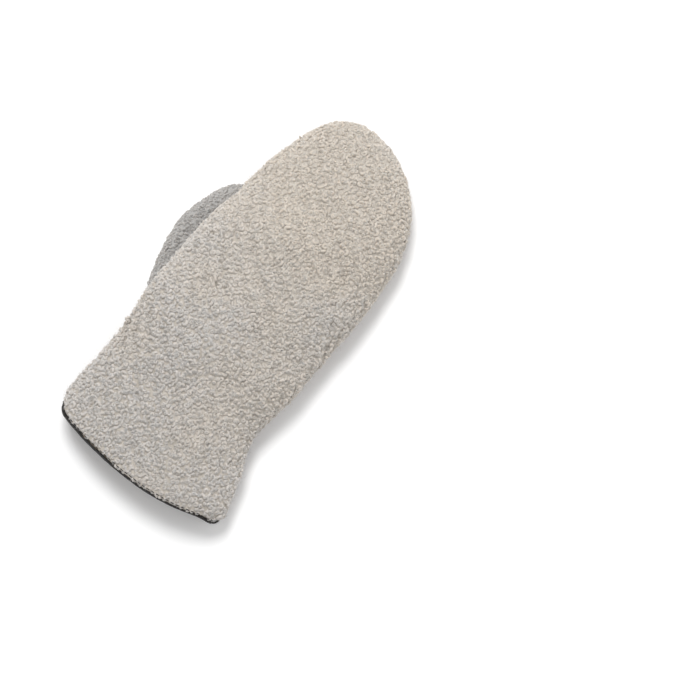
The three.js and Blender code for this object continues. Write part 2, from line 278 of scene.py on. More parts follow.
def keep_value(piece: bpy.types.Object, label: str, numbers: np.ndarray) -> None:
    """Keeps one number for each vertex.

    Args:
        piece: the mesh object.
        label: the name by which the material reads the numbers.
        numbers: one for each vertex.
    """
    attribute = piece.data.attributes.new(label, "FLOAT", "POINT")
    attribute.data.foreach_set("value", numbers.astype(np.float32))


def mesh_piece(name: str, points: np.ndarray, faces: list[np.ndarray],
               values: dict[str, np.ndarray]) -> bpy.types.Object:
    """Makes a mesh object from arrays, for the locks, fibres and stitches, which number thousands.

    Args:
        name: the piece's name.
        points: rows of places in metres.
        faces: arrays of corner indices, each with its own number of corners in a row.
        values: named numbers, one for each point, kept as attributes for the material.

    Returns:
        The new object, smooth shaded.
    """
    mesh = bpy.data.meshes.new(name)
    corners = np.concatenate([block.ravel() for block in faces])
    sizes = np.concatenate([np.full(len(block), block.shape[1]) for block in faces])
    starts = np.concatenate([[0], np.cumsum(sizes)[:-1]])
    mesh.vertices.add(len(points))
    mesh.vertices.foreach_set("co", points.astype(np.float32).ravel())
    mesh.loops.add(len(corners))
    mesh.loops.foreach_set("vertex_index", corners.astype(np.int32))
    mesh.polygons.add(len(sizes))
    mesh.polygons.foreach_set("loop_start", starts.astype(np.int32))
    mesh.update(calc_edges=True)
    mesh.shade_smooth()
    piece = bpy.data.objects.new(name, mesh)
    bpy.context.scene.collection.objects.link(piece)
    for label, numbers in values.items():
        keep_value(piece, label, numbers)
    return piece


def hand_in(piece: bpy.types.Object, slot: str, *nodes: str) -> None:
    """Fixes a finished piece to the body, hides the CAD nodes that it replaces and logs its triangles and
    slot.

    Args:
        piece: the finished piece.
        slot: the name of its material slot, which is only logged.
        nodes: the CAD nodes that it replaces.
    """
    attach(piece, "root")
    if nodes:
        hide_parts(*nodes)
    triangles = len(piece.data.loops) - 2 * len(piece.data.polygons) if piece.type == "MESH" else 0
    LOG.info("%s: %d triangles, slot %s", piece.name, triangles, slot)


# Finishes


@dataclass(frozen=True)
class CurledWool:
    """Greige lamb's wool in tight curls: matt with a soft halo, paler on crowns, and darker low in each curl
    as painted shade in the partings.
    """

    crown_warm: str = "c2b9ae"
    crown_cool: str = "bfbab5"
    parting_shade: str = "b8b1a9"
    axis: str = "Y"
    reach: tuple[float, float] = (-120 * MM, 120 * MM)
    warming: tuple[float, float] = (-0.24, 0.2)
    name: str = "curled_lamb_wool"
    cloud_size: float = 70 * MM
    fibre_width: float = 0.12 * MM
    fibres_a_wave: int = 4
    roughness: float = 0.92
    sheen: float = 0.3
    glow: float = 0.6
    glow_depth: float = 1.5 * MM

    def material(self) -> bpy.types.Material:
        """Builds the wool of the curls, which carry the attributes rise and tone."""
        material, tree, shader = new_material(self.name)
        place = add_node(tree, "ShaderNodeTexCoord").outputs["Object"]
        rise = add_node(tree, "ShaderNodeAttribute", attribute_name="rise").outputs["Fac"]
        tone = add_node(tree, "ShaderNodeAttribute", attribute_name="tone").outputs["Fac"]
        clouds = add_node(tree, "ShaderNodeTexNoise", {"Vector": place, "Scale": 1 / self.cloud_size,
                                                       "Detail": 3.0})
        # Along one axis the crowns go from the cool colour to the warm one: on the back, along Y, warmer
        # towards the fingertips; on the thumb, up Z, greyer and darker towards the body as painted shade.
        along = add_node(tree, "ShaderNodeSeparateXYZ", {"Vector": place}).outputs[self.axis]
        remapped = add_node(tree, "ShaderNodeMapRange", {"Value": along, "From Min": self.reach[0],
                                                     "From Max": self.reach[1], "To Min": self.warming[0],
                                                     "To Max": self.warming[1]})
        warmth = add_node(tree, "ShaderNodeMath", {0: clouds.outputs["Fac"], 1: remapped.outputs["Result"]},
                          operation="ADD")
        crown = colour_ramp(tree, warmth.outputs["Value"], {0.3: self.crown_cool, 0.66: self.crown_warm})
        # Low in each curl, by its rise, the colour goes to that of the partings: painted shade between the
        # curls.
        lit = add_node(tree, "ShaderNodeMapRange", {"Value": rise, "From Min": 0.0, "From Max": 0.75})
        body = add_node(tree, "ShaderNodeMix", {"Factor": lit.outputs["Result"], "A": linear(self.parting_shade),
                                                "B": crown}, data_type="RGBA")
        value = add_node(tree, "ShaderNodeMapRange", {"Value": tone, "To Min": 0.94, "To Max": 1.04})
        toned = add_node(tree, "ShaderNodeHueSaturation", {"Color": body.outputs["Result"],
                                                           "Value": value.outputs["Result"]})
        fibres = add_node(tree, "ShaderNodeTexNoise", {"Vector": place, "Detail": 3.0,
                                                       "Scale": 1 / self.fibre_width / self.fibres_a_wave})
        bump = add_node(tree, "ShaderNodeBump", {"Height": fibres.outputs["Fac"], "Strength": 0.25,
                                                 "Distance": self.fibre_width})
        tree.links.new(toned.outputs["Color"], shader.inputs["Base Color"])
        tree.links.new(bump.outputs["Normal"], shader.inputs["Normal"])
        shader.inputs["Roughness"].default_value = self.roughness
        shader.inputs["Specular IOR Level"].default_value = 0.2
        shader.inputs["Sheen Weight"].default_value = self.sheen
        shader.inputs["Sheen Roughness"].default_value = 0.6
        shader.inputs["Subsurface Weight"].default_value = self.glow
        shader.inputs["Subsurface Radius"].default_value = (1.0, 0.9, 0.8)
        shader.inputs["Subsurface Scale"].default_value = self.glow_depth
        return material


@dataclass(frozen=True)
class WoolRoots:
    """The matted roots of the wool on the hide's outer side, seen only in the partings between curls,
    coloured mostly a little darker than the crowns as painted shade in those partings.
    """

    pale: str = "c1bab1"
    deep: str = "b0a9a0"
    mat_size: float = 1.6 * MM
    name: str = "matted_wool_roots"

    def material(self) -> bpy.types.Material:
        """Builds the felted ground under the curls."""
        material, tree, shader = new_material(self.name)
        place = add_node(tree, "ShaderNodeTexCoord").outputs["Object"]
        mat = add_node(tree, "ShaderNodeTexNoise", {"Vector": place, "Scale": 1 / self.mat_size,
                                                    "Detail": 4.0})
        # Mottled between the two colours, mostly a little darker than the crowns: painted shade in the
        # partings.
        colour = colour_ramp(tree, mat.outputs["Fac"], {0.35: self.deep, 0.65: self.pale})
        bump = add_node(tree, "ShaderNodeBump", {"Height": mat.outputs["Fac"], "Strength": 0.8,
                                                 "Distance": 0.6 * MM})
        tree.links.new(colour, shader.inputs["Base Color"])
        tree.links.new(bump.outputs["Normal"], shader.inputs["Normal"])
        shader.inputs["Roughness"].default_value = 0.95
        shader.inputs["Specular IOR Level"].default_value = 0.15
        return material


@dataclass(frozen=True)
class Suede:
    """The flesh side of the sheepskin, buffed: a matt nap of short fibres with faint cloudy patches."""

    pale: str = "a58f78"
    deep: str = "8a745e"
    nap_size: float = 0.35 * MM

    def material(self) -> bpy.types.Material:
        """Builds the suede inside the mitten."""
        material, tree, shader = new_material("buffed_suede")
        place = add_node(tree, "ShaderNodeTexCoord").outputs["Object"]
        patches = add_node(tree, "ShaderNodeTexNoise", {"Vector": place, "Scale": 45.0, "Detail": 5.0})
        colour = colour_ramp(tree, patches.outputs["Fac"], {0.35: self.deep, 0.7: self.pale})
        nap = add_node(tree, "ShaderNodeTexNoise", {"Vector": place, "Scale": 1 / self.nap_size,
                                                    "Detail": 3.0})
        bump = add_node(tree, "ShaderNodeBump", {"Height": nap.outputs["Fac"], "Strength": 0.5,
                                                 "Distance": 0.15 * MM})
        tree.links.new(colour, shader.inputs["Base Color"])
        tree.links.new(bump.outputs["Normal"], shader.inputs["Normal"])
        shader.inputs["Roughness"].default_value = 0.9
        shader.inputs["Specular IOR Level"].default_value = 0.2
        shader.inputs["Sheen Weight"].default_value = 0.25
        return material


@dataclass(frozen=True)
class Nappa:
    """Drum-dyed lamb nappa, lightly waxed: fine pebbled grain, soft sheen, paler in patches where the raised
    leather rubs, and darker down in gathers, folds and creases as painted shade.
    """

    deep: str = "3c2a1e"
    body: str = "664b38"
    rubbed: str = "8e705a"
    grain_size: float = 0.75 * MM
    crease_size: float = 9 * MM
    roughness: float = 0.5

    def material(self) -> bpy.types.Material:
        """Builds the leather of the palm and of the thumb's inner side."""
        material, tree, shader = new_material("waxed_lamb_nappa")
        place = add_node(tree, "ShaderNodeTexCoord").outputs["Object"]
        patches = add_node(tree, "ShaderNodeTexNoise", {"Vector": place, "Scale": 28.0, "Detail": 6.0,
                                                        "Roughness": 0.6})
        # lift is low where the leather is drawn in; the colour then darkens down in gathers, folds and
        # creases as painted shade, and cloudy patches on raised leather turn paler as rubbed wear.
        lift = add_node(tree, "ShaderNodeAttribute", attribute_name="lift").outputs["Fac"]
        wear_and_fold_shade = add_node(tree, "ShaderNodeMath", {0: lift, 1: 0.6, 2: patches.outputs["Fac"]},
                        operation="MULTIPLY_ADD")
        colour = colour_ramp(tree, wear_and_fold_shade.outputs["Value"], {0.42: self.deep, 0.8: self.body, 1.0: self.rubbed})
        grain = add_node(tree, "ShaderNodeTexVoronoi", {"Vector": place, "Scale": 1 / self.grain_size},
                         feature="SMOOTH_F1")
        stretched = add_node(tree, "ShaderNodeMapping", {"Vector": place, "Scale": (1.0, 0.35, 1.0)})
        crease = add_node(tree, "ShaderNodeTexNoise", {"Vector": stretched.outputs["Vector"],
                                                       "Scale": 1 / self.crease_size * 3, "Detail": 7.0,
                                                       "Roughness": 0.68, "Distortion": 1.2})
        fine = add_node(tree, "ShaderNodeBump", {"Height": grain.outputs["Distance"], "Strength": 0.35,
                                                 "Distance": 0.12 * MM})
        bump = add_node(tree, "ShaderNodeBump", {"Height": crease.outputs["Fac"], "Strength": 0.8,
                                                 "Distance": 1.2 * MM, "Normal": fine.outputs["Normal"]})
        remapped = add_node(tree, "ShaderNodeMapRange", {"Value": patches.outputs["Fac"], "From Min": 0.3,
                                                     "From Max": 0.8, "To Min": self.roughness + 0.1,
                                                     "To Max": self.roughness - 0.08})
        tree.links.new(colour, shader.inputs["Base Color"])
        tree.links.new(remapped.outputs["Result"], shader.inputs["Roughness"])
        tree.links.new(bump.outputs["Normal"], shader.inputs["Normal"])
        shader.inputs["Specular IOR Level"].default_value = 0.45
        return material


@dataclass(frozen=True)
class EdgeLeather:
    """The charcoal strip of thin split leather that binds the cuff: matt, with fine cross wrinkles."""

    deep: str = "1f1d1c"
    pale: str = "383634"
    wrinkle_size: float = 1.4 * MM

    def material(self) -> bpy.types.Material:
        """Builds the binding's leather."""
        material, tree, shader = new_material("charcoal_split_leather")
        place = add_node(tree, "ShaderNodeTexCoord").outputs["Object"]
        wrinkles = add_node(tree, "ShaderNodeTexNoise", {"Vector": place, "Scale": 1 / self.wrinkle_size,
                                                         "Detail": 5.0, "Roughness": 0.6})
        colour = colour_ramp(tree, wrinkles.outputs["Fac"], {0.3: self.deep, 0.75: self.pale})
        bump = add_node(tree, "ShaderNodeBump", {"Height": wrinkles.outputs["Fac"], "Strength": 0.6,
                                                 "Distance": 0.3 * MM})
        tree.links.new(colour, shader.inputs["Base Color"])
        tree.links.new(bump.outputs["Normal"], shader.inputs["Normal"])
        shader.inputs["Roughness"].default_value = 0.72
        shader.inputs["Specular IOR Level"].default_value = 0.3
        return material


@dataclass(frozen=True)
class WaxedThread:
    """Twisted polyester thread, waxed: dark, with a slight gloss on the ply."""

    name: str = "waxed_sewing_thread"
    colour: str = "2a2725"
    ply: float = 0.45 * MM
    bands_a_turn: int = 6

    def material(self) -> bpy.types.Material:
        """Builds thread and thin cord."""
        material, tree, shader = new_material(self.name)
        place = add_node(tree, "ShaderNodeTexCoord").outputs["Object"]
        scale = 1 / self.ply / self.bands_a_turn
        ply = add_node(tree, "ShaderNodeTexWave", {"Vector": place, "Scale": scale},
                       bands_direction="DIAGONAL")
        bump = add_node(tree, "ShaderNodeBump", {"Height": ply.outputs["Fac"], "Strength": 0.5,
                                                 "Distance": 0.1 * MM})
        tree.links.new(bump.outputs["Normal"], shader.inputs["Normal"])
        shader.inputs["Base Color"].default_value = linear(self.colour)
        shader.inputs["Roughness"].default_value = 0.6
        return material


@dataclass(frozen=True)
class StudioPaper:
    """A seamless white paper sweep, matt."""

    colour: str = "fafafa"

    def material(self) -> bpy.types.Material:
        """Builds the floor's paper."""
        material, tree, shader = new_material("white_sweep_paper")
        place = add_node(tree, "ShaderNodeTexCoord").outputs["Object"]
        fibre = add_node(tree, "ShaderNodeTexNoise", {"Vector": place, "Scale": 900.0, "Detail": 2.0})
        bump = add_node(tree, "ShaderNodeBump", {"Height": fibre.outputs["Fac"], "Strength": 0.05,
                                                 "Distance": 0.1 * MM})
        tree.links.new(bump.outputs["Normal"], shader.inputs["Normal"])
        shader.inputs["Base Color"].default_value = linear(self.colour)
        shader.inputs["Roughness"].default_value = 0.9
        shader.inputs["Specular IOR Level"].default_value = 0.1
        return material


# The studio


@dataclass
class Studio:
    """Camera, lights and floor. The camera looks down at the mitten from beyond its cuff.

    The lights' directions are shares of up, the picture's up and the picture's right.
    """

    azimuth: float = 37.2
    elevation: float = 85.0
    distance: float = 1.285
    focal_length: float = 100.0
    aim: tuple[float, float, float] = (68.7 * MM, 16.5 * MM, 12 * MM)
    key_power: float = 18.4
    key_size: float = 0.6
    key_reach: float = 1.55
    key_from: tuple[float, float, float] = (1.0, 0.6, -0.08)
    fill_power: float = 5.0
    fill_size: float = 1.6
    fill_from: tuple[float, float, float] = (0.8, -0.3, 0.8)
    sky: float = 0.56
    floor_size: float = 6.0

    def directions(self) -> tuple[Vector, Vector, Vector]:
        """Works out the camera's directions.

        Returns:
            The view's direction, and the picture's up and right laid on the floor.
        """
        turn = math.radians(self.azimuth)
        tilt = math.radians(self.elevation)
        ahead = Vector((-math.sin(turn), math.cos(turn), 0))
        right = Vector((math.cos(turn), math.sin(turn), 0))
        look = ahead * math.cos(tilt) - Vector((0, 0, math.sin(tilt)))
        return look, ahead, right

    def add_camera(self) -> None:
        """Adds the camera at the photograph's angle and makes it the scene's."""
        look, _, _ = self.directions()
        data = bpy.data.cameras.new("camera")
        data.lens = self.focal_length
        data.clip_start = 0.05
        data.clip_end = 20
        camera = bpy.data.objects.new("camera", data)
        camera.location = Vector(self.aim) - look * self.distance
        camera.rotation_euler = look.to_track_quat("-Z", "Y").to_euler()
        bpy.context.scene.collection.objects.link(camera)
        bpy.context.scene.camera = camera

    def add_softbox(self, name: str, towards: Vector, power: float, size: float) -> None:
        """Adds one square area light that faces the mitten.

        Args:
            name: the light's name.
            towards: the direction in which it stands.
            power: its power in watts.
            size: its side in metres.
        """
        data = bpy.data.lights.new(name, "AREA")
        data.shape = "SQUARE"
        data.size = size
        data.energy = power
        lamp = bpy.data.objects.new(name, data)
        lamp.location = towards.normalized() * self.key_reach
        lamp.rotation_euler = (-towards).to_track_quat("-Z", "Y").to_euler()
        bpy.context.scene.collection.objects.link(lamp)

    def add_lights(self) -> None:
        """Adds a large key from the picture's top, a weak fill from its lower right and an even sky."""
        _, ahead, right = self.directions()
        up = Vector((0, 0, 1))
        for name, place, power, size in (("key", self.key_from, self.key_power, self.key_size),
                                         ("fill", self.fill_from, self.fill_power, self.fill_size)):
            self.add_softbox(name, up * place[0] + ahead * place[1] + right * place[2], power, size)
        world = bpy.data.worlds.new("even_sky")
        world.use_nodes = True
        sky = world.node_tree.nodes["Background"]
        sky.inputs["Color"].default_value = linear("ffffff")
        sky.inputs["Strength"].default_value = self.sky
        bpy.context.scene.world = world

    def add_floor(self) -> None:
        """Lays the paper that the mitten rests on."""
        deselect_all()
        bpy.ops.mesh.primitive_plane_add(size=self.floor_size, location=(0, 0, 0))
        floor = bpy.context.object
        floor.name = "paper_floor"
        floor.data.materials.append(StudioPaper().material())

    def build(self) -> None:
        """Sets up the whole studio."""
        self.add_camera()
        self.add_lights()
        self.add_floor()
        bpy.context.scene.view_settings.view_transform = "Standard"


# Wool


class CurlShape(Enum):
    """The ways in which a lock of the fleece curls."""

    SPIRAL = "spiral"
    HOOK = "hook"
    WAVE = "wave"
    KNOT = "knot"


@dataclass(frozen=True)
class Coil:
    """How a lock coils: its turns, its radius at the root and at the tip and its crown's height, in mm."""

    turns: float
    start: float
    end: float
    top: float


COILS = {
    CurlShape.SPIRAL: Coil(turns=1.30, start=1.75, end=0.35, top=0.45),
    CurlShape.HOOK: Coil(turns=0.75, start=1.70, end=1.10, top=0.30),
    CurlShape.KNOT: Coil(turns=1.55, start=1.35, end=0.15, top=0.60),
}


@dataclass
class Curl:
    """One lock of wool as a closed, tapered tube, drawn round the origin with +Z off the hide."""

    shape: CurlShape
    turn_way: int
    seed: int
    thickness: float = 1.15 * MM
    sides: int = 5
    wave_length: float = 5.0
    wave_depth: float = 1.0

    def segments(self) -> int:
        """How many segments the lock needs to curve smoothly."""
        return 10 if self.shape in (CurlShape.SPIRAL, CurlShape.KNOT) else 7

    def centreline(self) -> np.ndarray:
        """Draws the lock's middle line.

        Returns:
            Rows of places in metres, from its root to its tip.
        """
        rng = np.random.default_rng(self.seed)
        share = np.linspace(0, 1, self.segments() + 1)
        wobble = rng.uniform(0.9, 1.1)
        if self.shape is CurlShape.WAVE:
            across = (share - 0.5) * self.wave_length * wobble
            phase = share * 2 * math.pi * 1.05 + rng.uniform(0, 1)
            sideways = self.wave_depth * np.sin(phase) * self.turn_way
            up = -0.7 + 1.1 * np.sin(math.pi * share) ** 0.8
            return np.stack([across, sideways, up], axis=1) * MM
        coil = COILS[self.shape]
        angle = self.turn_way * 2 * math.pi * coil.turns * wobble * share
        radius = coil.start + (coil.end - coil.start) * share ** 0.9
        up = -0.8 + (coil.top + 0.8) * np.sin(share * math.pi * 0.5) ** 0.8
        if self.shape is CurlShape.HOOK:
            up = -0.6 + (coil.top + 0.6) * np.sin(math.pi * (0.12 + 0.78 * share))
        return np.stack([radius * np.cos(angle), radius * np.sin(angle), up], axis=1) * MM

    def tube(self) -> tuple[np.ndarray, np.ndarray, np.ndarray, np.ndarray]:
        """Wraps the middle line in a tube.

        Returns:
            Points, side faces, end faces and each point's rise from 0 at the root to 1 at the crown.
        """
        line = self.centreline()
        count = len(line)
        ahead = np.gradient(line, axis=0)
        ahead /= np.linalg.norm(ahead, axis=1)[:, None]
        side = np.cross([0, 0, 1], ahead)
        side /= np.linalg.norm(side, axis=1)[:, None]
        up = np.cross(ahead, side)
        share = np.linspace(0, 1, count)
        swell = self.thickness * (0.42 + 0.58 * np.sin(math.pi * (0.08 + 0.84 * share)) ** 0.7)
        around = np.arange(self.sides) * 2 * math.pi / self.sides
        ring = np.cos(around)[None, :, None] * side[:, None] + np.sin(around)[None, :, None] * up[:, None]
        points = (line[:, None] + ring * swell[:, None, None]).reshape(-1, 3)
        first = np.arange(count - 1)[:, None] * self.sides
        corner = np.arange(self.sides)[None]
        following = (corner + 1) % self.sides
        quads = np.stack([first + corner, first + following, first + following + self.sides,
                          first + corner + self.sides], axis=-1).reshape(-1, 4)
        last = (count - 1) * self.sides
        caps = np.array([np.arange(self.sides)[::-1], last + np.arange(self.sides)])
        height = points[:, 2] / MM
        rise = np.clip((height + 1.2) / 2.6, 0, 1)
        return points, quads, caps, rise


def ring_of(node: str, count: int = 260, nearest: int = 16, outermost: int = 5) -> np.ndarray:
    """Finds the outer line of a node that goes round the mouth.

    Args:
        node: the CAD node.
        count: how many points the line gets.
        nearest: how many vertices are looked at for each point, by their angle.
        outermost: how many of these, the farthest out, are averaged.

    Returns:
        Rows of places, in order round the wrist.
    """
    points = points_of(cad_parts[node])
    middle = (points.min(axis=0) + points.max(axis=0)) / 2
    stretch = np.ptp(points[:, 0]) / np.ptp(points[:, 2])
    angle = np.arctan2((points[:, 2] - middle[2]) * stretch, points[:, 0] - middle[0])
    radius = np.hypot((points[:, 2] - middle[2]) * stretch, points[:, 0] - middle[0])
    line = []
    for place in np.linspace(-math.pi, math.pi, count, endpoint=False):
        apart = np.abs((angle - place + math.pi) % (2 * math.pi) - math.pi)
        near = np.argsort(apart)[:nearest]
        outer = near[np.argsort(-radius[near])[:outermost]]
        line.append(points[outer].mean(axis=0))
    rows = np.array(line)
    even = evened(rows, 12)
    even[:, 1] = evened(rows, 70)[:, 1]
    return even


def evened(rows: np.ndarray, rounds: int) -> np.ndarray:
    """Evens out a closed line.

    Args:
        rows: its points in order.
        rounds: how often each is drawn towards its two neighbours.

    Returns:
        The evened rows.
    """
    for _ in range(rounds):
        rows = (np.roll(rows, 1, axis=0) + 2 * rows + np.roll(rows, -1, axis=0)) / 4
    return rows


@dataclass
class Hem:
    """The cuff's cut edge: a bowed line across the back, read from the binding's ring.

    The hem is drawn back sharply at the corner on the thumb's side and gently towards the far one.
    """

    ring: np.ndarray
    edge: float = 0.8 * MM
    shorn: float = 0.62
    fade: float = 7 * MM
    spill: float = 0.15
    corner_start: float = 53 * MM
    corner_width: float = 10 * MM
    corner_rise: float = 11 * MM
    corner_reach: float = 40 * MM
    far_start: float = 15 * MM
    far_width: float = 40 * MM
    far_rise: float = 3.2 * MM

    def line(self, across: np.ndarray) -> np.ndarray:
        """Gives the hem's line.

        Args:
            across: places across the mitten.

        Returns:
            The hem's place along the mitten at each.
        """
        bow = np.polyfit(self.ring[:, 0], self.ring[:, 1], 4)
        low, high = self.ring[:, 0].min(), self.ring[:, 0].max()
        return np.polyval(bow, np.clip(across, low, high)) + self.edge + self.corner(across)

    def corner(self, across: np.ndarray) -> np.ndarray:
        """Gives how far the hem is drawn back.

        Args:
            across: places across the mitten.

        Returns:
            A distance along the mitten for each.
        """
        near = np.clip((-across - self.corner_start) / self.corner_width, 0, 1)
        far = np.clip((across - self.far_start) / self.far_width, 0, 1)
        return self.corner_rise * near ** 2 + self.far_rise * far ** 2

    def outward(self) -> np.ndarray:
        """Works out which way is out of the wrist.

        Returns:
            A unit direction, square to the ring, for each of its points.
        """
        ahead = np.roll(self.ring, -1, axis=0) - np.roll(self.ring, 1, axis=0)
        out = np.stack([ahead[:, 2], np.zeros(len(ahead)), -ahead[:, 0]], axis=1)
        out /= np.linalg.norm(out, axis=1)[:, None]
        flips = np.sign(np.sum(out * (self.ring - self.ring.mean(axis=0)) * [1, 0, 1], axis=1))
        out = evened(out * flips[:, None], 16)
        return out / np.linalg.norm(out, axis=1)[:, None]

    def draw_back(self, rows: np.ndarray) -> np.ndarray:
        """Rounds the cuff's corners of a piece, fading out along the mitten.

        Args:
            rows: the piece's points.

        Returns:
            The moved points.
        """
        inside = (rows[:, 1] - self.ring[:, 1].min()) / self.corner_reach
        moved = rows.copy()
        moved[:, 1] += self.corner(rows[:, 0]) * np.clip(1 - inside, 0, 1)
        return moved

    def shorten(self, places: np.ndarray) -> np.ndarray:
        """Shears the curls towards the hem.

        Args:
            places: where the curls stand.

        Returns:
            The share of its size that each keeps.
        """
        inside = (places[:, 1] - self.line(places[:, 0])) / self.fade
        return np.clip(self.shorn + (1 - self.shorn) * inside, self.shorn, 1)

    def trim(self, rows: np.ndarray) -> np.ndarray:
        """Holds the wool back behind the hem, so that its edge is even.

        Args:
            rows: the wool's points.

        Returns:
            The held points.
        """
        limit = self.line(rows[:, 0])
        kept = rows.copy()
        beyond = rows[:, 1] < limit
        kept[beyond, 1] = limit[beyond] - (limit[beyond] - rows[beyond, 1]) * self.spill
        return kept


@dataclass
class Fleece:
    """Curls scattered over a hide, closer than their own width so that they lock together."""

    hem: Hem
    spacing: float = 2.3 * MM
    lean: float = 0.16
    size_range: tuple[float, float] = (0.72, 1.1)
    tries: int = 7
    lowest: float = 0.25 * MM
    seed: int = 11

    def scatter(self, hide: bpy.types.Object, outer: np.ndarray) -> tuple[np.ndarray, np.ndarray]:
        """Chooses places for the curls, none closer to another than the spacing.

        Args:
            hide: the mesh that they grow on.
            outer: for each face, whether wool grows there.

        Returns:
            Places and unit normals, in rows.
        """
        mesh = hide.data
        mesh.calc_loop_triangles()
        corners = np.empty(len(mesh.loop_triangles) * 3, dtype=np.int32)
        owner = np.empty(len(mesh.loop_triangles), dtype=np.int32)
        mesh.loop_triangles.foreach_get("vertices", corners)
        mesh.loop_triangles.foreach_get("polygon_index", owner)
        corners = corners.reshape(-1, 3)[outer[owner]]
        points = points_of(hide)
        normals = normals_of(hide)
        a, b, c = (points[corners[:, k]] for k in range(3))
        area = np.linalg.norm(np.cross(b - a, c - a), axis=1) / 2
        rng = np.random.default_rng(self.seed)
        count = int(area.sum() / self.spacing ** 2 * self.tries)
        chosen = rng.choice(len(area), size=count, p=area / area.sum())
        weights = rng.dirichlet((1, 1, 1), size=count)
        places = np.einsum("nk,nkc->nc", weights, points[corners[chosen]])
        facing = np.einsum("nk,nkc->nc", weights, normals[corners[chosen]])
        facing /= np.linalg.norm(facing, axis=1)[:, None]
        kept = self.thin_out(places)
        return places[kept], facing[kept]

    def thin_out(self, places: np.ndarray) -> list[int]:
        """Keeps places in their order while each lies the spacing or more from those kept before.

        Args:
            places: places in rows.

        Returns:
            The numbers of the kept rows.
        """
        grid: dict[tuple[int, int, int], list[int]] = {}
        cells = np.floor(places / self.spacing).astype(int)
        reach = [(i, j, k) for i in (-1, 0, 1) for j in (-1, 0, 1) for k in (-1, 0, 1)]
        rows = places.tolist()
        limit = self.spacing ** 2
        kept: list[int] = []
        for index, (x, y, z) in enumerate(rows):
            i, j, k = cells[index].tolist()
            near = (n for di, dj, dk in reach for n in grid.get((i + di, j + dj, k + dk), ()))
            if all((x - rows[n][0]) ** 2 + (y - rows[n][1]) ** 2 + (z - rows[n][2]) ** 2 >= limit
                   for n in near):
                kept.append(index)
                grid.setdefault((i, j, k), []).append(index)
        return kept

    def curls(self) -> list[Curl]:
        """Lists the locks that the fleece is made of, the tight spirals most often.

        Returns:
            Ten locks, each shape turned both ways.
        """
        shapes = [CurlShape.SPIRAL, CurlShape.SPIRAL, CurlShape.KNOT, CurlShape.HOOK, CurlShape.WAVE]
        return [Curl(shape, way, 31 * number + way + 1)
                for number, shape in enumerate(shapes) for way in (1, -1)]

    def grow(self, name: str, places: np.ndarray, facing: np.ndarray,
             material: bpy.types.Material) -> bpy.types.Object:
        """Grows one joined piece of curls.

        Args:
            name: the piece's name.
            places: where the curls stand.
            facing: the hide's unit normals there.
            material: their wool.

        Returns:
            The new object.
        """
        rng = np.random.default_rng(self.seed + len(places))
        lean = facing + rng.normal(scale=self.lean, size=facing.shape)
        up = lean / np.linalg.norm(lean, axis=1)[:, None]
        spare = rng.normal(size=facing.shape)
        side = np.cross(up, spare)
        side /= np.linalg.norm(side, axis=1)[:, None]
        frames = np.stack([side, np.cross(up, side), up], axis=2)
        sizes = rng.uniform(*self.size_range, size=len(places)) * self.hem.shorten(places)
        tones = np.clip(rng.normal(0.5, 0.25, size=len(places)), 0, 1)
        kinds = self.curls()
        picks = rng.integers(len(kinds), size=len(places))
        points: list[np.ndarray] = []
        quads: list[np.ndarray] = []
        caps: list[np.ndarray] = []
        rises: list[np.ndarray] = []
        shades: list[np.ndarray] = []
        start = 0
        for number, curl in enumerate(kinds):
            own = np.flatnonzero(picks == number)
            shape, sides, ends, rise = curl.tube()
            placed = np.einsum("nij,mj->nmi", frames[own], shape) * sizes[own, None, None]
            placed = placed + places[own, None]
            shift = start + np.arange(len(own))[:, None, None] * len(shape)
            points.append(placed.reshape(-1, 3))
            quads.append((sides[None] + shift).reshape(-1, 4))
            caps.append((ends[None] + shift).reshape(-1, curl.sides))
            rises.append(np.tile(rise, len(own)))
            shades.append(np.repeat(tones[own], len(shape)))
            start += len(own) * len(shape)
        rows = self.hem.trim(np.concatenate(points))
        press_down(rows, self.lowest)
        values = {"rise": np.concatenate(rises), "tone": np.concatenate(shades)}
        piece = mesh_piece(name, rows, [np.concatenate(quads), np.concatenate(caps)], values)
        piece.data.materials.append(material)
        return piece


